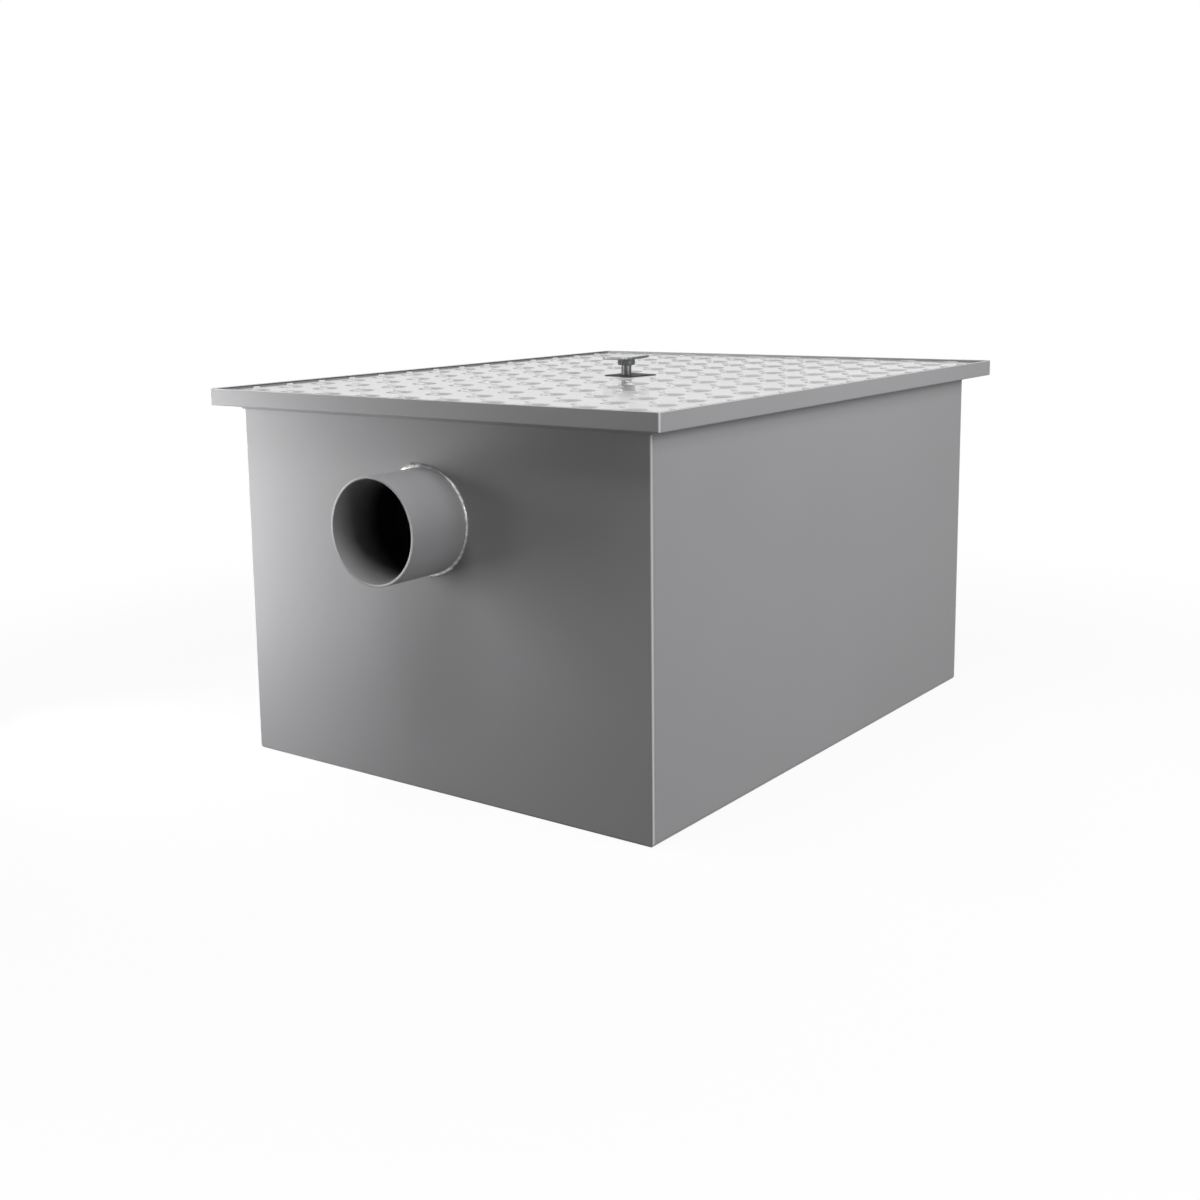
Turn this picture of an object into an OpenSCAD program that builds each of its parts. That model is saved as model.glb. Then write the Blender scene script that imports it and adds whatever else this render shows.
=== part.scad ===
// Grease trap: a painted steel tank with a pipe stub at each end, a rim that takes a tread
// plate cover, and a hold-down bolt through the middle of the cover.
// The origin is the middle of the base. The flow runs along +Y and +Z is up.

/* [Tank] */
// Outside length of the tank, along the flow
tank_l = 576; // [480:1:700]
// Outside width of the tank
tank_w = 438; // [360:1:540]
// Height of the walls, from the base to the underside of the rim
tank_h = 320; // [290:1:420]
// Thickness of the tank's sheet
sheet = 3; // [2:0.5:5]
// Inside radius of the folds between the floor and the side walls
fold_r = 2; // [1:0.5:6]
// Radius dressed on the welded edges of the end plates
edge_r = 2.5; // [1:0.1:4]

/* [Rim] */
// How far the rim stands out past the tank's walls
rim_out = 21; // [16:0.5:40]
// Height of the rim, from the underside of its ledge to the top of its lip
rim_h = 15; // [13:0.5:30]
// Thickness of the rim's sheet
rim_t = 3; // [2:0.5:5]
// Outside radius of the fold along the foot of the lip
rim_fold_r = 1.5; // [1:0.5:6]
// Outside radius of the lip's corners in plan
rim_corner_r = 2.5; // [1:0.5:12]
// Leg of the weld bead between the walls and the rim
rim_weld_leg = 4; // [2:0.5:8]
// Thickness of that bead at its two edges
weld_toe = 0.5; // [0.2:0.1:1]

/* [Cover] */
// Thickness of the tread plate without its lugs
cover_t = 5; // [3:0.5:8]
// Gap between the edge of the cover and the lip
cover_gap = 1.5; // [1.2:0.1:4]
// Radius of the cover's corners in plan
cover_corner_r = 2; // [1:0.5:12]
// Thickness of the gasket under the cover
gasket_t = 5.2; // [2:0.1:6]
// How far the gasket stays back from the mouth of the tank
gasket_inset = 2.5; // [0:0.5:8]
// Thickness of the seal that stands between the cover and the lip
seal_t = 0.8; // [0.4:0.1:2]
// Gap between the seal and the lip
seal_gap = 0.2; // [0.1:0.1:1]
// Gap between the top of the seal and the top of the lip
seal_drop = 0.3; // [0.2:0.1:2]
// Length of a lug from point to point
lug_l = 24; // [16:0.5:32]
// Width of a lug at its foot
lug_w = 7; // [5:0.5:10]
// Height of a lug above the plate
lug_h = 1.4; // [1:0.1:2.5]
// How far a lug's flank leans in from foot to top
lug_lean = 1.2; // [0.5:0.1:2]
// Depth of a lug's foot in the plate
lug_root = 0.4; // [0.2:0.1:1]
// Spacing of the lugs across the width
lug_pitch_x = 45; // [40:0.5:60]
// Spacing of the lugs along the length
lug_pitch_y = 41; // [40:0.5:60]
// Slant of the lugs to the sides of the cover
lug_turn = 45; // [30:1:60]
// Plain margin left along the edge of the plate and round the washer
lug_margin = 2; // [1:0.5:10]

/* [Pipes] */
// Outside diameter of the pipe stubs
pipe_od = 88.9; // [60:0.1:120]
// Wall of the pipe stubs
pipe_wall = 2; // [1.5:0.1:5]
// How far a stub stands out from its end plate
pipe_out = 64; // [40:1:120]
// How far a stub reaches past the inner face of its end plate
pipe_in = 6; // [2:1:20]
// Depth of the pipe axis under the rim
pipe_drop = 87; // [70:1:160]
// Offset of the pipe axis from the middle of the end plates
pipe_x = -4; // [-40:1:40]
// Radial gap between a stub and its hole
pipe_gap = 0.1; // [0.05:0.05:0.5]
// Leg of the weld bead round a stub
pipe_weld_leg = 3.5; // [2:0.5:8]

/* [Baffles] */
// Thickness of the baffles and the weir
baffle_t = 3; // [2:0.5:5]
// Distance from an end plate's inner face to the middle of its baffle
baffle_from_end = 100; // [60:1:140]
// Gap between the underside of the cover and the top of a baffle
baffle_drop = 32; // [5:1:80]
// Width of the opening at the foot of a baffle
window_w = 300; // [150:1:320]
// Height of the opening at the foot of a baffle
window_h = 65; // [30:1:100]
// Radius in the opening's upper corners
window_r = 12; // [2:1:25]
// Width of the grip folded over along the top of a baffle
grip_w = 18; // [10:1:30]
// Inside radius of the grip's fold
grip_r = 2; // [1:0.5:5]
// Thickness of the guide channels' sheet
guide_t = 2; // [1.5:0.5:4]
// Depth of a guide channel, from the side wall
guide_depth = 14; // [10:1:25]
// Play of a baffle in its guides, on each side
baffle_play = 0.7; // [0.4:0.1:2]
// Gap between the top of a guide and the fold of the grip
guide_drop = 20; // [2:1:100]
// Height of the weir above the floor
weir_h = 150; // [80:1:200]

/* [Hold-down] */
// Width of the bar across the tank
bar_w = 40; // [25:1:60]
// Thickness of the bar
bar_t = 6; // [4:0.5:10]
// Gap between the underside of the cover and the bar
bar_drop = 27; // [24:1:50]
// Diameter of the bolt
bolt_d = 9.5; // [8:0.1:14]
// Height of the head above the cover's flat face, as the bolt stands loosened
bolt_lift = 10; // [9:0.5:16]
// Length of thread that shows under the nut
bolt_past = 7; // [2:0.5:20]
// Chamfer on the bolt's end
bolt_chamfer = 1; // [0.5:0.1:2]
// Wall from the bolt's side to the flats of its head and of the nut
hex_wall = 2.4; // [2:0.1:5]
// Height of the bolt's head
head_h = 6; // [4:0.1:10]
// Height of the nut under the bar
nut_h = 8.3; // [5:0.1:14]
// Radial clearance of the bolt in the nut
thread_gap = 0.25; // [0.1:0.05:0.5]
// Radial clearance of the bolt in the cover, the washer and the bar
hole_gap = 1.5; // [0.5:0.1:3]
// Size of the handle plate across the width
handle_w = 33; // [18:1:60]
// Size of the handle plate along the length
handle_l = 32; // [18:1:80]
// Thickness of the handle plate
handle_t = 2.5; // [2:0.1:6]
// Radius on the handle plate's corners
handle_r = 1.5; // [0.5:0.5:6]
// Side of the square rubber washer on the cover
washer_w = 36; // [26:0.5:48]
// Radius on the washer's corners
washer_r = 1.5; // [0.5:0.5:6]
// Turn of the washer from the sides of the cover
washer_turn = -10; // [-45:1:45]
// How far the middle of the washer lies beside its hole, across the width
washer_x = 3; // [-4:0.1:4]
// How far the middle of the washer lies beside its hole, along the length
washer_y = 2.3; // [-4:0.1:4]
// Thickness of the rubber washer
washer_t = 1; // [0.6:0.1:4]

/* [Bolt retainer] */
// How far the snap ring stands out past the bolt's side
ring_out = 4.25; // [3.5:0.05:10]
// Thickness of the snap ring
ring_t = 1.2; // [0.8:0.1:2]
// Gap between the underside of the cover and the ring
ring_drop = 16.5; // [16:0.5:20]
// Depth of the ring's groove in the bolt
groove_depth = 0.8; // [0.5:0.1:1.5]
// Clearance of the ring in its groove
ring_play = 0.15; // [0.05:0.05:0.3]
// Width of the opening in the ring
ring_mouth = 7; // [4:0.5:8]

/* [Hidden] */
$fn = 64;

// Colours
paint = "#9b9b9b";
tread_paint = "#a6a7a9";
plated_steel = "#8f8d88";
black_rubber = "#1d1d1f";

// Overlap of a cut past the face that it opens
cut = 1;

// Tank
inside_l = tank_l - 2 * sheet;
inside_w = tank_w - 2 * sheet;
outer_fold_r = fold_r + sheet;
dressed_r = min(edge_r, sheet);

// Rim
rim_l = tank_l + 2 * rim_out;
rim_w = tank_w + 2 * rim_out;
pocket_l = rim_l - 2 * rim_t;
pocket_w = rim_w - 2 * rim_t;
ledge_z = tank_h + rim_t;

// Cover
cover_l = pocket_l - 2 * cover_gap;
cover_w = pocket_w - 2 * cover_gap;
cover_z = ledge_z + gasket_t;
cover_top = cover_z + cover_t;

// A lug's outline is two arcs that meet in its points
lug_r = (lug_l * lug_l / lug_w + lug_w) / 4;
lug_reach = lug_l / 2 * max(cos(lug_turn), sin(lug_turn)) + lug_margin;
washer_reach = washer_w / sqrt(2) + norm([washer_x, washer_y]);
lug_clear = washer_reach + lug_l / 2 + lug_margin;
lug_cols = floor(cover_w / 2 / lug_pitch_x) + 1;
lug_rows = floor(cover_l / 2 / lug_pitch_y) + 1;

// Pipes
pipe_r = pipe_od / 2;
pipe_z = tank_h - pipe_drop;

// Baffles
baffle_y = inside_l / 2 - baffle_from_end;
baffle_w = inside_w - 2 * (guide_t + baffle_play);
baffle_h = cover_z - sheet - baffle_drop;
grip_fold = grip_r + baffle_t;
slot_w = baffle_t + 2 * baffle_play;
guide_z = sheet + fold_r;
guide_l = baffle_h - grip_fold - fold_r - guide_drop;

// Hold-down
bar_z = cover_z - bar_drop - bar_t;
nut_z = bar_z - nut_h;
bolt_r = bolt_d / 2;
bolt_tip_z = nut_z - bolt_past;
head_z = cover_top + bolt_lift;
hex_d = (bolt_d + 2 * hex_wall) / cos(30);
hole_r = bolt_r + hole_gap;
groove_r = bolt_r - groove_depth;
ring_r = bolt_r + ring_out;
ring_z = cover_z - ring_drop - ring_t;

// A rectangle on the X axis with its two lower corners rounded
module foot_rounded(w, h, r) {
    translate([-w / 2 + r, 0]) square([w - 2 * r, h]);
    translate([-w / 2, r]) square([w, h - r]);
    for (side = [-1, 1])
        translate([side * (w / 2 - r), r]) circle(r);
}

// A centred rectangle with all its corners rounded
module round_rect(w, l, r) {
    square([w - 2 * r, l], center = true);
    square([w, l - 2 * r], center = true);
    for (x = [-1, 1], y = [-1, 1])
        translate([x * (w / 2 - r), y * (l / 2 - r)]) circle(r);
}

// Runs an XZ profile along Y, centred on the origin
module along_y(len) {
    translate([0, len / 2, 0]) rotate([90, 0, 0]) linear_extrude(len) children();
}

// Runs a YZ profile along X, centred on the origin
module along_x(len) {
    translate([-len / 2, 0, 0]) rotate([90, 0, 90]) linear_extrude(len) children();
}

// Turns what stands on Z outward through the end plate at one end, on the pipe's axis
module at_pipe(end) {
    translate([pipe_x, end * tank_l / 2, pipe_z]) rotate([-90 * end, 0, 0]) children();
}

// Floor and side walls, one folded sheet
module tank_trough() {
    color(paint)
        difference() {
            along_y(inside_l) foot_rounded(tank_w, tank_h, outer_fold_r);
            translate([0, 0, sheet]) along_y(inside_l + 2 * cut) foot_rounded(inside_w, tank_h, fold_r);
        }
}

// End wall, with its outer edges dressed round and a hole for the pipe stub
module end_plate(end) {
    color(paint)
        difference() {
            intersection() {
                translate([0, end * (tank_l - sheet) / 2, 0])
                    along_y(sheet) foot_rounded(tank_w, tank_h, outer_fold_r);
                linear_extrude(tank_h) round_rect(tank_w, tank_l, dressed_r);
                along_x(tank_w) foot_rounded(tank_l, tank_h, dressed_r);
            }
            at_pipe(end) translate([0, 0, -sheet - cut])
                cylinder(r = pipe_r + pipe_gap, h = sheet + 2 * cut);
        }
}

// Ledge and upstanding lip round the mouth of the tank
module rim_frame() {
    color(paint)
        translate([0, 0, tank_h])
            difference() {
                intersection() {
                    linear_extrude(rim_h) round_rect(rim_w, rim_l, rim_corner_r);
                    along_y(rim_l) foot_rounded(rim_w, rim_h, rim_fold_r);
                    along_x(rim_w) foot_rounded(rim_l, rim_h, rim_fold_r);
                }
                translate([0, 0, rim_t]) linear_extrude(rim_h) square([pocket_w, pocket_l], center = true);
                translate([0, 0, -cut]) linear_extrude(rim_h) square([inside_w, inside_l], center = true);
            }
}

// Section across the tank of the bead under the rim
module rim_weld_section(span) {
    foot = span / 2 + weld_toe;
    top = span / 2 + rim_weld_leg;
    polygon([
        [-foot, tank_h - rim_weld_leg], [foot, tank_h - rim_weld_leg],
        [top, tank_h - weld_toe], [top, tank_h], [-top, tank_h], [-top, tank_h - weld_toe]
    ]);
}

// Fillet bead in the corner between the walls and the ledge
module rim_weld() {
    color(paint)
        difference() {
            intersection() {
                along_y(tank_l + 2 * rim_weld_leg) rim_weld_section(tank_w);
                along_x(tank_w + 2 * rim_weld_leg) rim_weld_section(tank_l);
            }
            linear_extrude(tank_h + cut) round_rect(tank_w, tank_l, dressed_r);
        }
}

// Stub of pipe through an end plate, with the weld bead that joins it to the plate's outside
module pipe(end) {
    inner_end = -sheet - pipe_in;
    stub_l = pipe_out - inner_end;
    color(paint)
        at_pipe(end)
            difference() {
                union() {
                    translate([0, 0, inner_end]) cylinder(r = pipe_r, h = stub_l);
                    rotate_extrude()
                        intersection() {
                            translate([pipe_r, 0]) circle(pipe_weld_leg);
                            translate([pipe_r - pipe_wall / 2, 0]) square(pipe_wall + pipe_weld_leg);
                        }
                }
                translate([0, 0, inner_end - cut]) cylinder(r = pipe_r - pipe_wall, h = stub_l + 2 * cut);
            }
}

// Section of a baffle along the flow, with the grip folded towards -Y
module grip_section() {
    face = -baffle_t / 2;
    translate([face, 0]) square([baffle_t, baffle_h - grip_fold]);
    translate([face - grip_r, baffle_h - grip_fold])
        intersection() {
            difference() {
                circle(grip_fold);
                circle(grip_r);
            }
            square(grip_fold);
        }
    translate([face - grip_w, baffle_h - baffle_t]) square([grip_w - grip_r, baffle_t]);
}

// Removable plate that stands on the floor, open at its foot, with its grip towards the middle
module baffle(end) {
    color(paint)
        translate([0, end * baffle_y, sheet])
            mirror([0, end > 0 ? 0 : 1, 0])
                difference() {
                    intersection() {
                        along_x(baffle_w) grip_section();
                        along_y(2 * (grip_w + baffle_t)) foot_rounded(baffle_w, baffle_h, fold_r);
                    }
                    along_y(2 * baffle_t)
                        translate([0, window_h]) mirror([0, 1])
                            foot_rounded(window_w, window_h + cut, window_r);
                }
}

// Channels on both side walls that a baffle slides down in
module baffle_guides(end) {
    web = inside_w / 2 - guide_t;
    mouth = inside_w / 2 - guide_depth;
    color(paint)
        for (side = [-1, 1])
            translate([0, end * baffle_y, guide_z])
                mirror([side > 0 ? 0 : 1, 0, 0])
                    linear_extrude(guide_l)
                        difference() {
                            translate([mouth, -slot_w / 2 - guide_t])
                                square([guide_depth, slot_w + 2 * guide_t]);
                            translate([mouth - cut, -slot_w / 2]) square([web - mouth + cut, slot_w]);
                        }
}

// Low plate across the middle of the tank
module center_weir() {
    color(paint)
        translate([0, 0, sheet]) along_y(baffle_t) foot_rounded(inside_w, weir_h, fold_r);
}

// Flat bar between the side walls that the bolt pulls against
module cross_bar() {
    color(paint)
        translate([0, 0, bar_z])
            difference() {
                translate([-inside_w / 2, -bar_w / 2, 0]) cube([inside_w, bar_w, bar_t]);
                translate([0, 0, -cut]) cylinder(r = hole_r, h = bar_t + 2 * cut);
            }
}

// Hex nut under the bar
module cross_bar_nut() {
    color(plated_steel)
        translate([0, 0, nut_z])
            difference() {
                cylinder(d = hex_d, h = nut_h, $fn = 6);
                translate([0, 0, -cut]) cylinder(r = bolt_r + thread_gap, h = nut_h + 2 * cut);
            }
}

// Strip of rubber on the ledge under the cover, in one closed frame
module cover_gasket() {
    color(black_rubber)
        translate([0, 0, ledge_z])
            linear_extrude(gasket_t)
                difference() {
                    round_rect(cover_w, cover_l, cover_corner_r);
                    square([inside_w + 2 * gasket_inset, inside_l + 2 * gasket_inset], center = true);
                }
}

// Thin rubber strip that stands on the ledge along the inside of the lip
module edge_seal() {
    seal_w = pocket_w - 2 * seal_gap;
    seal_l = pocket_l - 2 * seal_gap;
    color(black_rubber)
        translate([0, 0, ledge_z])
            linear_extrude(rim_h - rim_t - seal_drop)
                difference() {
                    square([seal_w, seal_l], center = true);
                    square([seal_w - 2 * seal_t, seal_l - 2 * seal_t], center = true);
                }
}

// One raised lug along X: two leaning flanks round a flat top
module lug() {
    intersection_for (side = [-1, 1])
        translate([0, side * (lug_r - lug_w / 2), -lug_root])
            cylinder(
                r1 = lug_r + lug_lean * lug_root / lug_h,
                r2 = lug_r - lug_lean,
                h = lug_root + lug_h
            );
}

// One of the two crossed sets of lugs, kept off the plate's edge and the washer
module lug_set(shift_x, shift_y, turn) {
    for (i = [-lug_cols : lug_cols], j = [-lug_rows : lug_rows]) {
        x = (i + shift_x) * lug_pitch_x;
        y = (j + shift_y) * lug_pitch_y;
        on_plate = abs(x) < cover_w / 2 - lug_reach && abs(y) < cover_l / 2 - lug_reach;
        if (on_plate && norm([x, y]) > lug_clear)
            translate([x, y, 0]) rotate(turn) lug();
    }
}

// Tread plate that lies on the gasket inside the lip
module cover_plate() {
    color(tread_paint)
        union() {
            translate([0, 0, cover_z])
                linear_extrude(cover_t)
                    difference() {
                        round_rect(cover_w, cover_l, cover_corner_r);
                        circle(hole_r);
                    }
            translate([0, 0, cover_top]) {
                lug_set(0.5, 0, lug_turn);
                lug_set(0, 0.5, -lug_turn);
            }
        }
}

// Square of rubber sheet on the cover, its hole a little off its middle
module bolt_washer() {
    color(black_rubber)
        translate([0, 0, cover_top])
            linear_extrude(washer_t)
                difference() {
                    translate([washer_x, washer_y])
                        rotate(washer_turn) round_rect(washer_w, washer_w, washer_r);
                    circle(hole_r);
                }
}

// Snap ring in the bolt's groove, under the cover
module bolt_retainer() {
    color(plated_steel)
        translate([0, 0, ring_z])
            linear_extrude(ring_t)
                difference() {
                    circle(ring_r);
                    circle(groove_r + ring_play);
                    translate([0, -ring_mouth / 2]) square([ring_r + cut, ring_mouth]);
                }
}

// Hex bolt with a groove for the snap ring, its head's flats square to the handle
module hold_down_bolt() {
    groove_low = ring_z - ring_play;
    groove_high = ring_z + ring_t + ring_play;
    // The shank runs on into the head
    shank_top = head_z + head_h / 2;
    color(plated_steel)
        union() {
            rotate_extrude()
                polygon([
                    [0, bolt_tip_z], [bolt_r - bolt_chamfer, bolt_tip_z],
                    [bolt_r, bolt_tip_z + bolt_chamfer],
                    [bolt_r, groove_low], [groove_r, groove_low],
                    [groove_r, groove_high], [bolt_r, groove_high],
                    [bolt_r, shank_top], [0, shank_top]
                ]);
            translate([0, 0, head_z]) rotate(30) cylinder(d = hex_d, h = head_h, $fn = 6);
        }
}

// Flat plate on the bolt's head, to turn it by hand
module bolt_handle() {
    color(plated_steel)
        translate([0, 0, head_z + head_h])
            linear_extrude(handle_t) round_rect(handle_w, handle_l, handle_r);
}

tank_trough();
end_plate(-1);  // inlet_end_plate
end_plate(1);  // outlet_end_plate
rim_frame();
rim_weld();
pipe(-1);  // inlet_pipe
pipe(1);  // outlet_pipe
baffle(-1);  // inlet_baffle
baffle(1);  // outlet_baffle
baffle_guides(-1);  // inlet_baffle_guides
baffle_guides(1);  // outlet_baffle_guides
center_weir();
cross_bar();
cross_bar_nut();
cover_gasket();
edge_seal();
cover_plate();
bolt_washer();
bolt_retainer();
hold_down_bolt();
bolt_handle();
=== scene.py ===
"""Looks of a painted steel grease trap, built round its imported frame.

Places are in metres in the frame's own axes: the flow runs along +Y and +Z is up.
Sizes in the classes are in millimetres, as a maker would write them.
"""

from __future__ import annotations

import logging
import math
from collections.abc import Callable, Iterator
from contextlib import contextmanager
from dataclasses import dataclass, field, replace
from enum import Enum

import bmesh
import bpy
from mathutils import Matrix, Vector, noise

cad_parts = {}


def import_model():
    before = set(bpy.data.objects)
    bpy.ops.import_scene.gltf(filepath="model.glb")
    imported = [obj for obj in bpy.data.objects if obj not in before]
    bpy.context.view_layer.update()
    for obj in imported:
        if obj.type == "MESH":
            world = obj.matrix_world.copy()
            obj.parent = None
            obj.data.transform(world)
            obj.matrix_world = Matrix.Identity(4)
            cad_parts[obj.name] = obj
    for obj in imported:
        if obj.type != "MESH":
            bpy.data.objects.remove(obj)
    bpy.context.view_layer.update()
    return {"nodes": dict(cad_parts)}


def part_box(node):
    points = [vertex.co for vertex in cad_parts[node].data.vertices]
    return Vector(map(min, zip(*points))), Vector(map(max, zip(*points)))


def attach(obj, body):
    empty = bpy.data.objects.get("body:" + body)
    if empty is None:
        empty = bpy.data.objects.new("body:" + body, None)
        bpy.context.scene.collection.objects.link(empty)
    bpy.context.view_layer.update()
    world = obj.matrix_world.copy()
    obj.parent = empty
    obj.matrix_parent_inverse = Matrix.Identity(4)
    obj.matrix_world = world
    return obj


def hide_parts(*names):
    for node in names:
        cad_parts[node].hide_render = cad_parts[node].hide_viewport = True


Piece = bpy.types.Object
Edge = bmesh.types.BMEdge
Material = bpy.types.Material
Tree = bpy.types.NodeTree
Socket = bpy.types.NodeSocket
Pair = tuple[float, float]
Triple = tuple[float, float, float]
# A node, its copy's name and the width of the copy's broken edges.
CopyRow = tuple[str, str, float]

LOG = logging.getLogger("grease_trap")
MM = 0.001
# Marks colour painted lighter as a highlight, and on the seal strip a laid-on grey.
PAINTED_HIGHLIGHT_AND_GREY = "painted_highlight_and_grey"
# Marks where the pipe bores are painted near black as shade.
PAINTED_BORE_SHADE = "painted_bore_shade"
MERGE_GAP = 0.01 * MM
LEVEL_GAP = 1e-6
# The least part of a normal along an axis on a face that is square to it.
SQUARE_ON = 0.9999
FACING = 0.9
# The most that faces of one flat turn, and the least turn of an edge to break.
FLAT_DEG = 0.5
FOLD_DEG = 35.0
# The sockets of a mix of colours: its two colours and its result.
MIX_FIRST, MIX_SECOND, MIX_RESULT = 6, 7, 2


class Body(Enum):
    """The bodies of the trap that pieces ride on."""

    TANK = "tank"
    COVER = "cover"
    BOLT = "bolt"


class Slot(Enum):
    """The material slots that a finish can be changed in."""

    TANK_PAINT = "tank_paint"
    COVER_PAINT = "cover_paint"
    PLATED_STEEL = "plated_steel"
    BLACK_RUBBER = "black_rubber"


class End(Enum):
    """The two ends of the tank, by the way that they face along Y."""

    INLET = -1
    OUTLET = 1

    @property
    def label(self) -> str:
        """Name of the end as the nodes spell it."""
        return self.name.lower()


def linear(colour: str) -> tuple[float, float, float, float]:
    """Turn an sRGB colour into linear light.

    Args:
        colour: The colour as #rrggbb.

    Returns:
        Linear red, green and blue, and an alpha of 1.
    """
    shares = [int(colour[i : i + 2], 16) / 255 for i in (1, 3, 5)]
    red, green, blue = (
        share / 12.92 if share <= 0.04045 else ((share + 0.055) / 1.055) ** 2.4
        for share in shares
    )
    return red, green, blue, 1.0


def per_metre(size_mm: float) -> float:
    """Give the texture scale at which one feature is size_mm across."""
    return 1.0 / (size_mm * MM)


def add_node(
    tree: Tree,
    kind: str,
    inputs: dict[str | int, object] | None = None,
    **settings: object,
) -> bpy.types.Node:
    """Add a node with its settings, and fill or link its inputs.

    Args:
        tree: The node tree to add to.
        kind: Blender's name of the shader node type, less its prefix.
        inputs: A value or an output socket for each input, by name or number.
        settings: Attributes of the node.

    Returns:
        The new node.
    """
    node = tree.nodes.new(f"ShaderNode{kind}")
    for name, value in settings.items():
        setattr(node, name, value)
    for key, value in (inputs or {}).items():
        if isinstance(value, Socket):
            tree.links.new(value, node.inputs[key])
        else:
            node.inputs[key].default_value = value
    return node


def new_material(name: str) -> tuple[Material, Tree, Socket]:
    """Make a node material that is still without a shader.

    Args:
        name: The material's name.

    Returns:
        The material, its tree, and the place of a point on its piece.
    """
    material = bpy.data.materials.new(name)
    material.use_nodes = True
    tree = material.node_tree
    tree.nodes.clear()
    return material, tree, add_node(tree, "TexCoord").outputs["Object"]


@dataclass(frozen=True)
class Grain:
    """A noise of a real width: its octaves, and its share in a tone or its depth."""

    width_mm: float
    detail: float
    weight: float = 1.0


@dataclass(frozen=True)
class Mark:
    """A colour that shows where an attribute marks the surface, or where it is missing.

    A higher power lets the colour fade sooner.
    """

    attribute: str
    colour: str
    power: float = 1.0
    missing: bool = False

    def share(self, tree: Tree) -> Socket:
        """Find how much of the colour shows.

        Args:
            tree: The node tree to add to.

        Returns:
            The colour's share.
        """
        mark = add_node(tree, "Attribute", attribute_name=self.attribute)
        share = mark.outputs["Fac"]
        if self.missing:
            rest = {0: 1.0, 1: share}
            share = add_node(tree, "Math", rest, operation="SUBTRACT").outputs[0]
        if self.power != 1.0:
            faded = {0: share, 1: self.power}
            share = add_node(tree, "Math", faded, operation="POWER").outputs[0]
        return share


@dataclass(frozen=True)
class Finish:
    """A finish: two tones in clouds, marks of painted light, shade and grey, uneven
    gloss and fine relief.

    The first cloud also sets the gloss, and the weight of each further one is its
    share in the tone. Each relief lies on the one before it, and its weight is its
    depth in millimetres.
    """

    name: str
    tones: tuple[str, str]
    tone_span: Pair
    clouds: tuple[Grain, ...]
    reliefs: tuple[Grain, ...]
    marks: tuple[Mark, ...]
    shader: dict[str, float]
    gloss_span: Pair = (0.0, 1.0)
    roughness: Pair | None = None
    highlight_metallic: float | None = None

    def colour(self, tree: Tree, tone: Socket) -> Socket:
        """Lay the second tone and the marks over the first tone.

        Args:
            tree: The node tree to add to.
            tone: The pattern that the tones follow.

        Returns:
            The finish's colour.
        """
        low, high = self.tone_span
        share = add_node(
            tree, "MapRange", {"Value": tone, "From Min": low, "From Max": high}
        )
        colour, second = map(linear, self.tones)
        layers = [(share.outputs[0], second)]
        layers += [(mark.share(tree), linear(mark.colour)) for mark in self.marks]
        for factor, over in layers:
            mix = {"Factor": factor, MIX_FIRST: colour, MIX_SECOND: over}
            colour = add_node(tree, "Mix", mix, data_type="RGBA").outputs[MIX_RESULT]
        return colour

    def material(self) -> Material:
        """Build the finish's nodes.

        Returns:
            The finish as a material.
        """
        material, tree, place = new_material(self.name)
        inputs: dict[str, object] = dict(self.shader)
        patterns = {}
        for grain in (*self.clouds, *self.reliefs):
            scale = per_metre(grain.width_mm)
            size = {"Vector": place, "Scale": scale, "Detail": grain.detail}
            patterns[grain] = add_node(tree, "TexNoise", size).outputs["Fac"]
        cloud, *more = self.clouds
        tone = patterns[cloud]
        for grain in more:
            added = {0: patterns[grain], 1: grain.weight, 2: tone}
            tone = add_node(tree, "Math", added, operation="MULTIPLY_ADD").outputs[0]
        inputs["Base Color"] = self.colour(tree, tone)
        if self.roughness:
            gloss = {
                "Value": patterns[cloud],
                "From Min": self.gloss_span[0],
                "From Max": self.gloss_span[1],
                "To Min": self.roughness[0],
                "To Max": self.roughness[1],
            }
            inputs["Roughness"] = add_node(tree, "MapRange", gloss).outputs[0]
        # Where a highlight is painted, the finish turns partly metallic.
        if self.highlight_metallic:
            lit = add_node(tree, "Attribute", attribute_name=PAINTED_HIGHLIGHT_AND_GREY)
            shine = {0: lit.outputs["Fac"], 1: self.highlight_metallic}
            metal = add_node(tree, "Math", shine, operation="MULTIPLY")
            inputs["Metallic"] = metal.outputs[0]
        for grain in self.reliefs:
            bump = {"Height": patterns[grain], "Distance": grain.weight * MM}
            if "Normal" in inputs:
                bump["Normal"] = inputs["Normal"]
            inputs["Normal"] = add_node(tree, "Bump", bump).outputs[0]
        shader = add_node(tree, "BsdfPrincipled", inputs)
        add_node(tree, "OutputMaterial", {"Surface": shader.outputs[0]})
        return material


# Sprayed epoxy paint on steel: an even grey film with orange peel, and a painted
# highlight along its rounded edges. Deep in the pipe bores the colour is painted near
# black as shade.
# Its real grit is finer than 0.9 mm, and is drawn coarse enough to show.
TANK_EPOXY = Finish(
    name="satin_grey_epoxy",
    tones=("#959496", "#9d9c9e"),
    tone_span=(0.25, 1.1),
    clouds=(Grain(140.0, 4.0), Grain(0.9, 2.0, 0.35)),
    reliefs=(Grain(170.0, 0.0, 0.25), Grain(3.5, 1.0, 0.012)),
    marks=(Mark(PAINTED_HIGHLIGHT_AND_GREY, "#f4f4f4"), Mark(PAINTED_BORE_SHADE, "#161616")),
    shader={"Specular IOR Level": 0.2},
    gloss_span=(0.2, 0.8),
    roughness=(0.46, 0.54),
)
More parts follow.
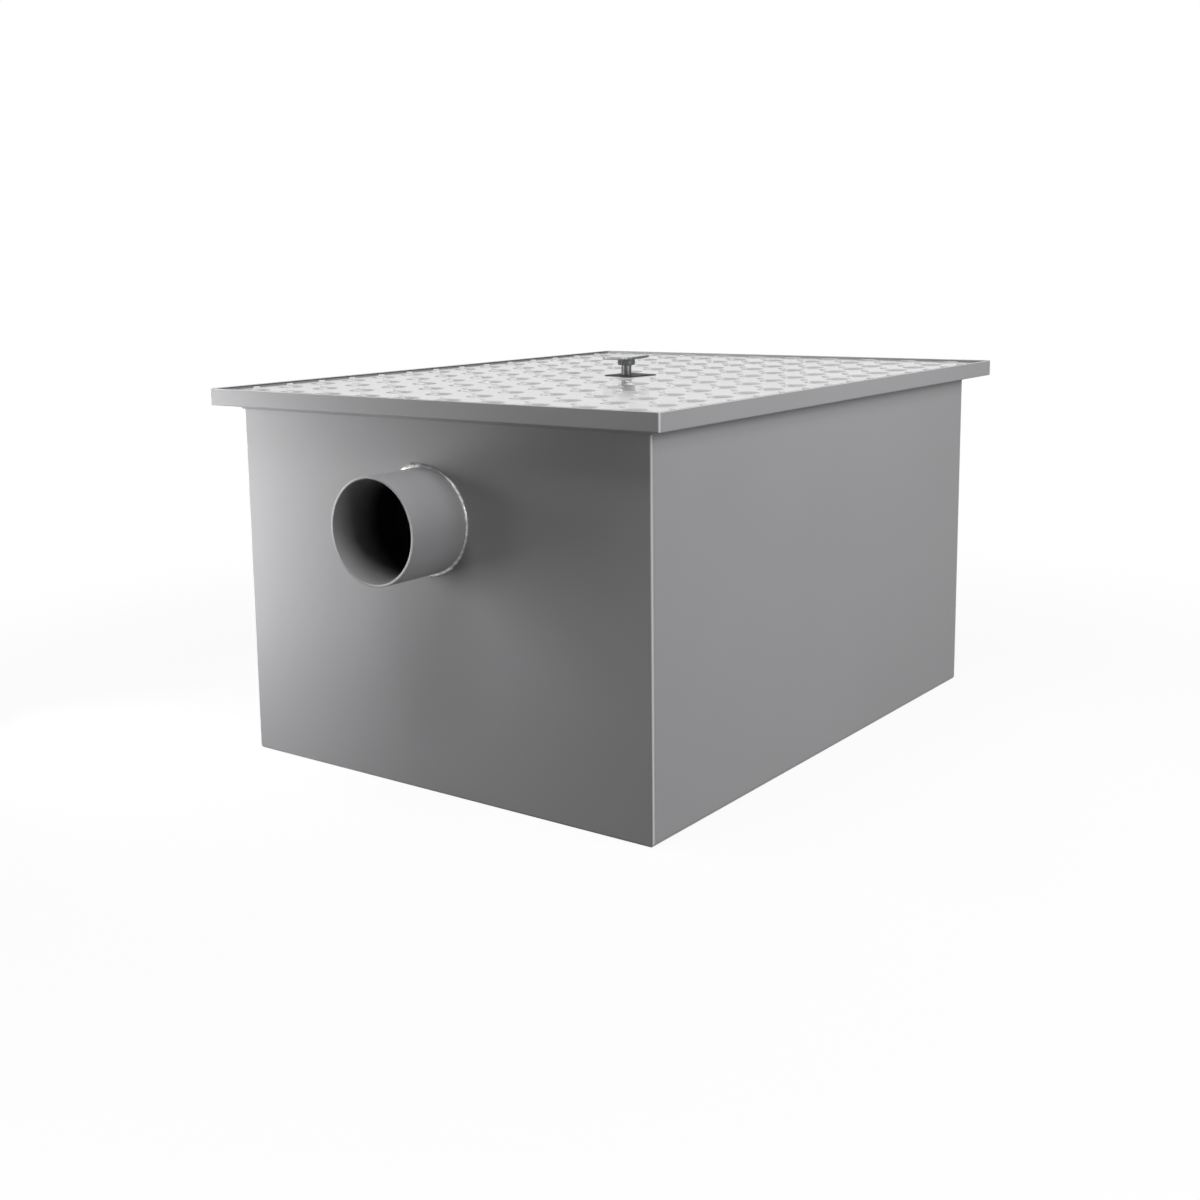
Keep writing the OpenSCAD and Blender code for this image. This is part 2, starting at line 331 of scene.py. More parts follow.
# The same paint, sprayed thick: it dries glossy and mirrors the bolt.
COVER_EPOXY = replace(
    TANK_EPOXY,
    name="gloss_grey_epoxy",
    tones=("#a6a6a7", "#adadae"),
    reliefs=(Grain(170.0, 0.0, 0.1), Grain(3.5, 1.0, 0.012)),
    # Painted highlight on the falling lugs of the tread.
    marks=(Mark(PAINTED_HIGHLIGHT_AND_GREY, "#d8d8d8"),),
    shader={"Specular IOR Level": 0.5, "Coat Weight": 0.3, "Coat Roughness": 0.08},
    roughness=(0.12, 0.2),
)
# Weld run: metal painted lighter on the crests of its bumps and where a highlight is
# painted round the pipe, and the paint's grey elsewhere.
BEAD_METAL = Finish(
    name="bright_weld_bead",
    tones=("#a8a7a4", "#f0f0ec"),
    tone_span=(0.35, 0.6),
    clouds=(Grain(4.5, 3.0),),
    reliefs=(Grain(4.5, 3.0, 0.12),),
    marks=(Mark(PAINTED_HIGHLIGHT_AND_GREY, "#858587", missing=True),),
    shader={"Roughness": 0.26},
    highlight_metallic=0.35,
)
# Dull zinc plate on turned steel: cloudy grey metal, painted lighter on the handle's
# top as a painted reflection.
ZINC_PLATE = Finish(
    name="dull_zinc_plate",
    tones=("#545555", "#737474"),
    tone_span=(0.35, 0.65),
    clouds=(Grain(6.0, 5.0),),
    reliefs=(Grain(0.6, 1.0, 0.02),),
    marks=(Mark(PAINTED_HIGHLIGHT_AND_GREY, "#c0c1c1"),),
    shader={"Metallic": 1.0},
    gloss_span=(0.3, 0.7),
    roughness=(0.42, 0.24),
)
# Moulded black rubber: matt, with a bloom of dust, and a lighter grey laid along the
# seal strip. Its real grain is finer than 0.8 mm, and is drawn coarse enough to show.
MATT_RUBBER = Finish(
    name="matt_black_rubber",
    tones=("#101011", "#222223"),
    tone_span=(0.45, 0.75),
    clouds=(Grain(5.0, 4.0),),
    reliefs=(Grain(0.8, 2.0, 0.03),),
    marks=(Mark(PAINTED_HIGHLIGHT_AND_GREY, "#dcdcde", power=2.0),),
    shader={"Roughness": 0.62, "IOR": 1.52},
)


@dataclass
class Finishes:
    """The four finishes and the weld metal, each built once."""

    tank: Material = field(default_factory=TANK_EPOXY.material)
    cover: Material = field(default_factory=COVER_EPOXY.material)
    steel: Material = field(default_factory=ZINC_PLATE.material)
    rubber: Material = field(default_factory=MATT_RUBBER.material)
    weld: Material = field(default_factory=BEAD_METAL.material)


def deselect() -> None:
    """Leave nothing selected and nothing active."""
    bpy.ops.object.select_all(action="DESELECT")
    bpy.context.view_layer.objects.active = None


def select(*pieces: Piece) -> None:
    """Select some pieces and nothing else.

    Args:
        pieces: The pieces, of which the first becomes active.
    """
    deselect()
    for piece in pieces:
        piece.select_set(True)
    bpy.context.view_layer.objects.active = pieces[0]


def start(kind: str, name: str, **sizes: object) -> Piece:
    """Start a piece from a primitive, with its place in its mesh.

    Args:
        kind: Blender's name of the primitive.
        name: The name of the piece and its mesh.
        sizes: Sizes and place of the primitive.

    Returns:
        The piece.
    """
    deselect()
    getattr(bpy.ops.mesh, f"primitive_{kind}_add")(**sizes)
    piece = bpy.context.object
    piece.name = piece.data.name = name
    bpy.ops.object.transform_apply()
    return piece


@contextmanager
def editing(piece: Piece, mode: str = "EDGE", picked: bool = True) -> Iterator[None]:
    """Open one piece in edit mode, and close it after.

    Args:
        piece: The piece to open.
        mode: The select mode, VERT, EDGE or FACE.
        picked: Whether all of it is selected at first, or nothing.

    Yields:
        Nothing.
    """
    select(piece)
    bpy.ops.object.mode_set(mode="EDIT")
    bpy.ops.mesh.select_mode(type=mode)
    bpy.ops.mesh.select_all(action="SELECT" if picked else "DESELECT")
    yield
    bpy.ops.object.mode_set(mode="OBJECT")


def pick_edges(piece: Piece, test: Callable[[Edge], bool]) -> None:
    """Select the edges of an open piece that pass a test.

    Args:
        piece: The piece.
        test: The test of an edge.
    """
    mesh = bmesh.from_edit_mesh(piece.data)
    for edge in mesh.edges:
        edge.select_set(test(edge))
    bmesh.update_edit_mesh(piece.data)


def middle(edge: Edge) -> Vector:
    """Give the middle of an edge."""
    return (edge.verts[0].co + edge.verts[1].co) / 2


def extrude(rise: float, share_x: float, share_y: float) -> None:
    """Extrude the selected edges up by metres, and resize them round Z by shares."""
    bpy.ops.mesh.extrude_edges_move(TRANSFORM_OT_translate={"value": (0, 0, rise)})
    bpy.ops.transform.resize(value=(share_x, share_y, 1), center_override=(0, 0, 0))


def apply_modifier(piece: Piece, kind: str, **settings: object) -> None:
    """Add a modifier to a piece and apply it.

    Args:
        piece: The piece to change.
        kind: Blender's name of the modifier type.
        settings: Attributes of the modifier.
    """
    select(piece)
    modifier = piece.modifiers.new(kind.title(), kind)
    for name, value in settings.items():
        setattr(modifier, name, value)
    bpy.ops.object.modifier_apply(modifier=modifier.name)


def break_edges(piece: Piece, width_mm: float, angle_deg: float = 40.0) -> None:
    """Round the sharp edges of a piece a little.

    Args:
        piece: The piece to change.
        width_mm: Width of the rounding.
        angle_deg: The least turn of a sharp edge.
    """
    apply_modifier(
        piece,
        "BEVEL",
        width=width_mm * MM,
        segments=2,
        limit_method="ANGLE",
        angle_limit=math.radians(angle_deg),
    )


def smooth(piece: Piece, angle_deg: float = 40.0) -> None:
    """Shade a piece smooth across edges that turn less than an angle."""
    select(piece)
    bpy.ops.object.shade_smooth_by_angle(angle=math.radians(angle_deg))


def round_off(piece: Piece, angle_deg: float = 40.0) -> None:
    """Shade a piece so that its wide faces look flat and its edges round."""
    smooth(piece, angle_deg)
    apply_modifier(piece, "WEIGHTED_NORMAL", weight=100, keep_sharp=True)


def crisp_flats(piece: Piece) -> None:
    """Keep the edge crisp wherever a level face meets one that slopes.

    Args:
        piece: The piece to change.
    """
    with editing(piece, picked=False):
        pick_edges(
            piece,
            lambda edge: len({f.normal.z > SQUARE_ON for f in edge.link_faces}) == 2,
        )
        bpy.ops.mesh.mark_sharp()


def join(pieces: list[Piece]) -> Piece:
    """Join pieces into the first one, which keeps its name.

    Args:
        pieces: The pieces.

    Returns:
        The joined piece.
    """
    select(*pieces)
    bpy.ops.object.join()
    return pieces[0]


def merge(piece: Piece) -> None:
    """Merge doubled vertices and turn all faces outwards.

    Args:
        piece: The piece to change.
    """
    with editing(piece, "VERT"):
        bpy.ops.mesh.remove_doubles(threshold=MERGE_GAP)
        bpy.ops.mesh.normals_make_consistent()


def coat(piece: Piece, material: Material) -> None:
    """Give a piece, or a node of the frame that stays, its finish.

    Args:
        piece: The piece or node.
        material: The finish.
    """
    piece.data.materials.clear()
    piece.data.materials.append(material)
    LOG.info("%s: %d faces, %s", piece.name, len(piece.data.polygons), material.name)


def dress(piece: Piece, material: Material, body: Body) -> None:
    """Finish a piece and let it ride.

    Args:
        piece: The piece.
        material: Its finish.
        body: The body that it rides on.
    """
    coat(piece, material)
    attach(piece, body.value)


def turned(name: str, profile: list[Pair], sides: int) -> Piece:
    """Turn a closed profile round Z, ring by ring.

    Args:
        name: The name of the piece.
        profile: Radius and height of each ring in millimetres, in order.
        sides: Vertices in a ring.

    Returns:
        The turned piece, closed from its last ring to its first.
    """
    radius, height = profile[0]
    place = (0, 0, height * MM)
    piece = start("circle", name, vertices=sides, radius=radius * MM, location=place)
    with editing(piece):
        for next_radius, next_height in [*profile[1:], profile[0]]:
            share = next_radius / radius
            extrude((next_height - height) * MM, share, share)
            radius, height = next_radius, next_height
    merge(piece)
    return piece


def steepness(normal: Vector) -> float:
    """Give a normal's largest part along an axis."""
    return max(abs(part) for part in normal)


def paint_edge_highlights(piece: Piece, least_up: float = -0.3) -> None:
    """Paint highlights on the upright corners and the top edges of a piece.

    Args:
        piece: The piece to mark.
        least_up: How far an edge with a painted highlight may face down, as its
            normal's Z.
    """
    marks = piece.data.attributes.new(PAINTED_HIGHLIGHT_AND_GREY, "FLOAT", "POINT").data
    corner = math.cos(math.radians(45))
    on_flats = {
        index
        for face in piece.data.polygons
        if steepness(face.normal) > SQUARE_ON
        for index in face.vertices
    }
    for index, vert in enumerate(piece.data.vertices):
        share = min(1.0, (1.0 - steepness(vert.normal)) / (1.0 - corner))
        highlit = index not in on_flats and vert.normal.z > least_up
        marks[index].value = share if highlit else 0.0


def eased(node: Piece, name: str, width_mm: float) -> Piece:
    """Copy a node of the frame, merge its faces and break its sharp edges.

    Args:
        node: The node to stand in for.
        name: The name of the copy.
        width_mm: Width of the broken edges.

    Returns:
        The copy.
    """
    piece = bpy.data.objects.new(name, node.data.copy())
    piece.data.name = name
    bpy.context.scene.collection.objects.link(piece)
    with editing(piece, "VERT"):
        bpy.ops.mesh.customdata_custom_splitnormals_clear()
        bpy.ops.mesh.remove_doubles(threshold=MERGE_GAP)
        bpy.ops.mesh.dissolve_limited(angle_limit=math.radians(FLAT_DEG))
    break_edges(piece, width_mm, FOLD_DEG)
    round_off(piece)
    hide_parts(node.name)
    return piece


@dataclass
class Assembly:
    """What a sub-assembly is made from: the nodes of the frame and the finishes."""

    nodes: dict[str, Piece]
    finishes: Finishes


@dataclass
class TreadCover(Assembly):
    """The tread plate cover: crossed lugs on a plate with broken edges."""

    pitch_x: float = 45.0
    pitch_y: float = 41.0
    slant_deg: float = 45.0
    lug_l: float = 24.0
    lug_w: float = 7.0
    lug_h: float = 1.15
    packed_lug_h: float = 1.4
    lug_sides: int = 14
    # Length, width and height of each ring up a lug, as shares of the whole.
    lug_rings: tuple[Triple, ...] = (
        (0.97, 0.84, 0.75),
        (0.94, 0.5, 0.95),
        (0.9, 0.2, 1.0),
    )
    # The power of a lug's fall to its ends, and how much painted highlight lightens it.
    rising_lug: Pair = (3.0, 0.0)
    falling_lug: Pair = (1.2, 0.75)
    clear_r: float = 38.5
    hole_r: float = 6.25
    hole_sides: int = 24
    edge: float = 0.6
    crease_deg: float = 30.0

    def cell(self) -> Pair:
        """Give the size of the cell that holds one lug."""
        return self.pitch_x / 2, self.pitch_y / 2

    def framed(self, tile: Piece) -> None:
        """Put the cell's plain face round the flat ring that a tile starts from.

        Args:
            tile: The tile, which so far is only what stands in the cell.
        """
        wide, long = self.cell()
        with editing(tile, picked=False):
            bpy.ops.mesh.primitive_plane_add(size=1.0)
            bpy.ops.transform.resize(
                value=(wide * MM, long * MM, 1), center_override=(0, 0, 0)
            )
            bpy.ops.mesh.delete(type="ONLY_FACE")
            pick_edges(tile, lambda edge: abs(middle(edge).z) < LEVEL_GAP)
            bpy.ops.mesh.fill()

    def lug_tile(self, name: str, turn_deg: float, end: float, highlight: float) -> Piece:
        """Model one cell of the plate's face with a lug across it.

        Args:
            name: The name of the tile.
            turn_deg: Slant of the lug from the X axis.
            end: Power of the fall towards the lug's ends, higher for blunter ends.
            highlight: How much painted highlight lightens the lug, from 0 to 1.

        Returns:
            The tile, centred on the origin.
        """
        tile = start("circle", name, vertices=self.lug_sides, radius=1.0)
        half_l, half_w = self.lug_l / 2 * MM, self.lug_w / 2 * MM
        for vert in tile.data.vertices:
            along = vert.co.y
            bulge = math.copysign(1.0 - along * along, vert.co.x)
            vert.co = Vector((along * half_l, bulge * half_w, 0))
        last_l, last_w, low = 1.0, 1.0, 0.0
        with editing(tile):
            for ring_l, ring_w, rise in self.lug_rings:
                step = (rise - low) * self.lug_h * MM
                extrude(step, ring_l / last_l, ring_w / last_w)
                last_l, last_w, low = ring_l, ring_w, rise
            bpy.ops.mesh.edge_face_add()
        # Painted highlight: the lug's colour is lightened by its share.
        glint = tile.data.attributes.new(PAINTED_HIGHLIGHT_AND_GREY, "FLOAT", "FACE").data
        for face in tile.data.polygons:
            glint[face.index].value = highlight
        for vert in tile.data.vertices:
            along = min(1.0, abs(vert.co.x) / half_l)
            vert.co.z *= 1.0 - along**end
        tile.data.transform(Matrix.Rotation(math.radians(turn_deg), 4, "Z"))
        self.framed(tile)
        return tile

    def tiles(self) -> tuple[Piece, ...]:
        """Model the cells that the plate's face is laid from.

        Returns:
            A rising lug, a falling lug, a bare cell and one with the bolt's hole.
        """
        rising = self.lug_tile("rising_tile", self.slant_deg, *self.rising_lug)
        falling = self.lug_tile("falling_tile", -self.slant_deg, *self.falling_lug)
        wide, long = self.cell()
        plain = start("plane", "plain_tile", size=1.0)
        plain.data.transform(Matrix.Diagonal((wide * MM, long * MM, 1, 1)))
        radius = self.hole_r * MM
        hole = start("circle", "hole_tile", vertices=self.hole_sides, radius=radius)
        self.framed(hole)
        return rising, falling, plain, hole

    def face(self, half_w: float, half_l: float) -> Piece:
        """Lay the tiles out and trim them to the plate's flat face.

        Args:
            half_w: Half the width of the flat face, in metres.
            half_l: Half its length.

        Returns:
            The face as an open sheet at height zero.
        """
        wide, long = self.cell()
        rising, falling, plain, hole = tiles = self.tiles()
        cols = round(half_w / MM / wide)
        rows = int(half_l / MM / long)
        sheet = []
        for col in range(-cols, cols + 1):
            for row in range(-rows, rows + 1):
                place = Vector((col * wide, row * long, 0))
                tile = plain
                if col == row == 0:
                    tile = hole
                elif (col + row) % 2 and place.length > self.clear_r:
                    tile = rising if col % 2 else falling
                copy = bpy.data.objects.new("tread_face", tile.data.copy())
                copy.data.transform(Matrix.Translation(place * MM))
                bpy.context.scene.collection.objects.link(copy)
                sheet.append(copy)
        for tile in tiles:
            bpy.data.objects.remove(tile)
        face = join(sheet)
        merge(face)
        # The sheet ends half a cell past its last row, so these lines lie inside it.
        last_line = (rows + 0.4) * long * MM
        side_line = (cols + 0.4) * wide * MM
        reach = half_l - (rows + 0.5) * long * MM
        with editing(face, picked=False):
            for way in (-1, 1):
                pick_edges(
                    face,
                    lambda edge: edge.is_boundary and middle(edge).y * way > last_line,
                )
                bpy.ops.mesh.extrude_edges_move(
                    TRANSFORM_OT_translate={"value": (0, way * reach, 0)}
                )
        for vert in face.data.vertices:
            if abs(vert.co.x) > side_line and vert.co.z < LEVEL_GAP:
                vert.co.x = math.copysign(half_w, vert.co.x)
        return face

    def build(self) -> None:
        """Make the cover from its tread face, with sides, underside and hole."""
        low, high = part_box("cover_plate")
        edge = self.edge * MM
        thick = high.z - low.z - self.packed_lug_h * MM
        half_w, half_l = high.x - edge, high.y - edge
        plate = self.face(half_w, half_l)
        plate.name = plate.data.name = "tread_cover"
        with editing(plate, picked=False):
            pick_edges(
                plate,
                lambda e: e.is_boundary and middle(e).length > self.clear_r * MM,
            )
            extrude(-edge, high.x / half_w, high.y / half_l)
            extrude(2 * edge - thick, 1, 1)
            extrude(-edge, half_w / high.x, half_l / high.y)
            pick_edges(plate, lambda e: e.is_boundary and middle(e).z > -edge)
            extrude(-thick, 1, 1)
            pick_edges(plate, lambda e: e.is_boundary)
            bpy.ops.mesh.fill()
        plate.data.transform(Matrix.Translation((0, 0, low.z + thick)))
        merge(plate)
        smooth(plate, self.crease_deg)
        crisp_flats(plate)
        dress(plate, self.finishes.cover, Body.COVER)
        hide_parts("cover_plate")


@dataclass
class HoldDown(Assembly):
    """The hand-turned bolt: washer, hex bolt with its thread, and handle plate."""

    washer_sides: int = 96
    washer_rings: tuple[float, ...] = (6.25, 7.8, 9.5, 11.3, 13.2, 15.0, 16.6, 18.0)
    washer_t: float = 0.6
    washer_edge: float = 0.25
    washer_shift: Pair = (3.0, 2.3)
    washer_turn_deg: float = -10.0
    corner_power: float = 24.0
    curl: float = 0.35
    curl_from: float = 9.0
    # Height, count and phase of each wave round the washer's edge.
    curl_waves: tuple[Triple, ...] = ((0.55, 2, 2.5), (0.3, 3, 0.4), (0.15, 5, 1.3))
    bolt_r: float = 4.75
    core_r: float = 0.05
    shank_sides: int = 40
    hex_corner: float = 8.257
    head_h: float = 6.0
    head_edge: float = 0.45
    shank_in_head: float = 1.0
    groove_r: float = 3.95
    groove_play: float = 0.15
    tip_edge: float = 0.9
    thread_pitch: float = 1.5875
    thread_steps: int = 24
    thread_root: float = 4.1
    thread_sink: float = 0.25
    thread_foot: float = 0.7
    thread_crest: float = 0.12
    thread_start: float = 0.4
    thread_stop: float = 3.2
    run_out: float = 0.65
    handle_offset: Pair = (-1.2, 0.9)
    handle_tilt_deg: Pair = (1.2, -0.8)
    handle_corner: float = 1.5
    handle_edge: float = 0.4
    # Painted reflection: how much lighter the handle's top and its edges are painted.
    top_highlight: float = 1.0
    edge_highlight: float = 0.12

    def curled(self, radius: float, angle: float) -> Vector:
        """Find where a place on a flat round washer lies on the curled square one.

        Args:
            radius: Distance from the hole's middle, in millimetres.
            angle: Direction from it, before the washer is turned.

        Returns:
            The place in metres, with the lift of the washer's face as its height.
        """
        first, last = self.washer_rings[0], self.washer_rings[-1]
        share = (radius - first) / (last - first)
        power = self.corner_power
        reach = abs(math.cos(angle)) ** power + abs(math.sin(angle)) ** power
        edge = last / reach ** (1 / power)
        facing = angle + math.radians(self.washer_turn_deg)
        way = Vector((math.cos(facing), math.sin(facing), 0))
        place = (way * first).lerp(way * edge + Vector((*self.washer_shift, 0)), share)
        rise = max(0.0, (radius - self.curl_from) / (last - self.curl_from))
        wave = sum(
            height * (1 + math.sin(count * angle + phase))
            for height, count, phase in self.curl_waves
        )
        place.z = self.curl * rise * rise * wave / 2
        return place * MM

    def washer(self) -> None:
        """Make the rubber washer, which lies on the cover and curls up at its edge."""
        low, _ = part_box("bolt_washer")
        first, *rings = self.washer_rings
        sides = self.washer_sides
        piece = start("circle", "curled_washer", vertices=sides, radius=first * MM)
        with editing(piece):
            for last, ring in zip(self.washer_rings, rings):
                extrude(0, ring / last, ring / last)
        merge(piece)
        apply_modifier(piece, "SOLIDIFY", thickness=self.washer_t * MM, offset=0.0)
        lowest = min(vert.co.z for vert in piece.data.vertices)
        break_edges(piece, self.washer_edge)
        for vert in piece.data.vertices:
            radius = math.hypot(vert.co.x, vert.co.y) / MM
            angle = math.atan2(vert.co.y, vert.co.x)
            height = vert.co.z + low.z - lowest
            vert.co = self.curled(radius, angle) + Vector((0, 0, height))
        merge(piece)
        smooth(piece)
        dress(piece, self.finishes.rubber, Body.COVER)
        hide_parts("bolt_washer")

    def head(self, low: float) -> Piece:
        """Make the hex head with its edges broken.

        Args:
            low: Height of its underside, in metres.

        Returns:
            The head, its flats square to the handle.
        """
        head = start(
            "cylinder",
            "bolt_hex_head",
            vertices=6,
            radius=self.hex_corner * MM,
            depth=self.head_h * MM,
            location=(0, 0, low + self.head_h * MM / 2),
        )
        with editing(head):
            bpy.ops.mesh.bevel(offset=self.head_edge * MM, segments=2)
        return head

    def thread(self, low: float, high: float) -> Piece:
        """Wind the thread's ridge round the shank.

        Args:
            low: Height at which it starts, in millimetres.
            high: Height that it stays under.

        Returns:
            The ridge as a closed coil.
        """
        turns = int((high - low) / self.thread_pitch)
        ridge = start("plane", "bolt_thread", size=1.0)
        inner, crest = self.thread_root - self.thread_sink, self.bolt_r
        foot, tip = self.thread_foot, self.thread_crest
        section = ((inner, -foot), (crest, -tip), (crest, tip), (inner, foot))
        # The plane's corners in order round it.
        for index, (radius, rise) in zip((0, 1, 3, 2), section):
            height = low + self.thread_pitch / 2 + rise
            ridge.data.vertices[index].co = (radius * MM, 0, height * MM)
        with editing(ridge, "VERT"):
            bpy.ops.mesh.delete(type="ONLY_FACE")
        apply_modifier(
            ridge,
            "SCREW",
            angle=math.tau,
            screw_offset=self.thread_pitch * MM,
            iterations=turns,
            steps=self.thread_steps,
            render_steps=self.thread_steps,
        )
        with editing(ridge, picked=False):
            pick_edges(ridge, lambda edge: edge.is_boundary)
            bpy.ops.mesh.edge_face_add()
        merge(ridge)
        return ridge

    def bolt(self) -> None:
        """Make the bolt from its hex head, grooved shank and thread."""
        low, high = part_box("hold_down_bolt")
        ring_low, ring_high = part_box("bolt_retainer")
        tip, top = low.z / MM, high.z / MM
        under_head = top - self.head_h
        shank_top = under_head + self.shank_in_head
        groove_low = ring_low.z / MM - self.groove_play
        groove_high = ring_high.z / MM + self.groove_play
        thread_top = groove_low - self.thread_stop
        shank = turned(
            "hold_down_screw",
            [
                (self.core_r, tip),
                (self.thread_root - self.tip_edge, tip),
                (self.thread_root, tip + self.tip_edge),
                (self.thread_root, thread_top),
                (self.bolt_r, thread_top + self.run_out),
                (self.bolt_r, groove_low),
                (self.groove_r, groove_low),
                (self.groove_r, groove_high),
                (self.bolt_r, groove_high),
                (self.bolt_r, shank_top),
                (self.core_r, shank_top),
            ],
            self.shank_sides,
        )
        ridge = self.thread(tip + self.thread_start, thread_top)
        bolt = join([shank, self.head(under_head * MM), ridge])
        round_off(bolt)
        dress(bolt, self.finishes.steel, Body.BOLT)
        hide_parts("hold_down_bolt")

    def handle(self) -> None:
        """Make the handle plate, a little off centre and tilted as it was welded."""
        low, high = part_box("bolt_handle")
        plate = start("cube", "handle_plate", size=1.0)
        plate.data.transform(Matrix.Diagonal((*(high - low), 1)))
        with editing(plate, picked=False):
            pick_edges(plate, lambda edge: abs(middle(edge).z) < LEVEL_GAP)
            bpy.ops.mesh.bevel(offset=self.handle_corner * MM, segments=4)
        break_edges(plate, self.handle_edge)
        across, along = self.handle_offset
        tilt_x, tilt_y = (math.radians(turn) for turn in self.handle_tilt_deg)
        place = (low + high) / 2 + Vector((across * MM, along * MM, 0))
        plate.data.transform(
            Matrix.Translation(place)
            @ Matrix.Rotation(tilt_x, 4, "X")
            @ Matrix.Rotation(tilt_y, 4, "Y")
        )
        round_off(plate)
        # Painted reflection: the top is painted lighter than the edges.
        marks = plate.data.attributes.new(PAINTED_HIGHLIGHT_AND_GREY, "FLOAT", "FACE").data
        for index, face in enumerate(plate.data.polygons):
            on_top = face.normal.z > FACING
            marks[index].value = self.top_highlight if on_top else self.edge_highlight
        dress(plate, self.finishes.steel, Body.BOLT)
        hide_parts("bolt_handle")

    def build(self) -> None:
        """Make the washer, the bolt and its handle."""
        self.washer()
        self.bolt()
        self.handle()


@dataclass
class PipeStub(Assembly):
    """A pipe stub through an end plate, with the weld run round its foot."""

    end: End
    out_r: float = 44.45
    wall: float = 2.0
    sides: int = 128
    edge: float = 0.45
    edge_round: float = 0.3
    crease_deg: float = 50.0
    # Painted highlight on the mouth's edge: its strength, its swing round the mouth and
    # the angle of its peak.
    mouth_highlight: float = 0.5
    mouth_highlight_swing: float = 0.4
    mouth_highlight_deg: float = 150.0
    # Depths in the bore with extra rings, where the painted shade starts and where it
    # is full.
    bore_shade_depths: Pair = (22.0, 52.0)
    plate_out: float = 288.0
    bead_segments: int = 260
    bead_sides: int = 12
    bead_top: float = 4.8
    bead_top_deg: float = 110.0
    bead_top_span_deg: float = 18.0
    bead_side: float = 1.6
    bead_foot: float = 2.5
    # Angles round the pipe, and how much painted highlight the weld run has there.
    highlight_knots: tuple[Pair, ...] = (
        *((-180, 0.3), (-110, 0.4), (-98, 0.9), (-55, 0.9), (-40, 0.45)),
        *((-12, 0.6), (0, 0.95), (48, 0.95), (62, 0.2), (92, 0.15)),
        *((97, 1.0), (128, 1.0), (142, 0.4), (180, 0.3)),
    )
    bead_sink: float = 1.0
    bead_crease_deg: float = 60.0
    ripple_mm: float = 3.2
    ripple_h: float = 0.12
    lump_h: float = 0.3
    fine_h: float = 0.14
    fine_foot_h: float = 1.1
    # How close the lumps and the fine grains lie, and the seed of each.
    lump_noise: Pair = (4.0, 7)
    fine_noise: Pair = (13.0, 11)

    def place(self) -> Matrix:
        """Find where the pipe goes.

        Returns:
            The turn and place that lay a piece made along Z on the pipe's axis.
        """
        low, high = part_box(f"{self.end.label}_pipe")
        middle_x, middle_z = (low.x + high.x) / 2, (low.z + high.z) / 2
        outward = Matrix.Rotation(math.radians(-90 * self.end.value), 4, "X")
        foot = self.end.value * self.plate_out * MM
        return Matrix.Translation((middle_x, foot, middle_z)) @ outward

    def pipe(self) -> None:
        """Make the stub with rounded mouth edges."""
        low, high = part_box(f"{self.end.label}_pipe")
        inner, reach = sorted(abs(y) / MM - self.plate_out for y in (low.y, high.y))
        out, edge, bore = self.out_r, self.edge, self.out_r - self.wall
        inset = edge * self.edge_round
        stub = turned(
            f"{self.end.label}_stub",
            [
                (out, inner + edge),
                (out, reach - edge),
                (out - inset, reach - inset),
                (out - edge, reach),
                (bore + edge, reach),
                (bore + inset, reach - inset),
                (bore, reach - edge),
                *((bore, reach - depth) for depth in self.bore_shade_depths),
                (bore, inner + edge),
                (bore + edge, inner),
                (out - edge, inner),
            ],
            self.sides,
        )
        self.paint_mouth_highlight(stub, reach)
        stub.data.transform(self.place())
        round_off(stub, self.crease_deg)
        dress(stub, self.finishes.tank, Body.TANK)
        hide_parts(f"{self.end.label}_pipe")

    def paint_mouth_highlight(self, stub: Piece, reach: float) -> None:
        """Paint a stub that still stands on Z: a highlight on its mouth and shade deep
        in its bore.

        Args:
            stub: The stub.
            reach: How far it stands out of the plate, in millimetres.
        """
        highlit = stub.data.attributes.new(PAINTED_HIGHLIGHT_AND_GREY, "FLOAT", "POINT").data
        bore_shade = stub.data.attributes.new(PAINTED_BORE_SHADE, "FLOAT", "POINT").data
        bore = self.out_r - self.wall
        first, last = self.bore_shade_depths
        for index, vert in enumerate(stub.data.vertices):
            depth = reach - vert.co.z / MM
            turn = math.atan2(vert.co.y, vert.co.x) - math.radians(self.mouth_highlight_deg)
            glint = self.mouth_highlight + self.mouth_highlight_swing * math.cos(2 * turn)
            in_bore = math.hypot(vert.co.x, vert.co.y) / MM < bore + self.edge / 2
            share = min(1.0, max(0.0, (depth - first) / (last - first)))
            # Painted highlight on the mouth's edge, stronger at some angles round it.
            highlit[index].value = glint if depth < self.edge / 2 else 0.0
            bore_shade[index].value = share if in_bore else 0.0

    def highlight_share(self, angle: float) -> float:
        """Read how much painted highlight the weld run has from the knots on both sides
        of an angle.

        Args:
            angle: The angle round the pipe.

        Returns:
            The share of painted highlight, from 0 for the paint's grey to 1.
        """
        turn = math.degrees(angle)
        for (low, first), (high, last) in zip(self.highlight_knots, self.highlight_knots[1:]):
            if low <= turn <= high:
                return first + (last - first) * (turn - low) / (high - low)
        return self.highlight_knots[0][1]

    def bead_size(self, angle: float, ripples: float) -> float:
        """Give the weld run's leg.

        Args:
            angle: The angle round the pipe.
            ripples: How many ripples the whole run has.

        Returns:
            The leg in millimetres.
        """
        up, aside = math.sin(angle), math.cos(angle)
        low = max(0.0, -up) ** 2
        off_top = (math.degrees(angle) - self.bead_top_deg) / self.bead_top_span_deg
        base = self.bead_side
        base += (self.bead_top - self.bead_side) * math.exp(-off_top * off_top)
        base += (self.bead_foot - self.bead_side) * low
        ripple = self.ripple_h * abs(math.sin(angle * ripples / 2))
        lump, fine = (
            noise.noise(Vector((aside * rate, up * rate, seed)))
            for rate, seed in (self.lump_noise, self.fine_noise)
        )
        rough = self.fine_h + self.fine_foot_h * low
        return base + ripple + self.lump_h * lump + rough * fine

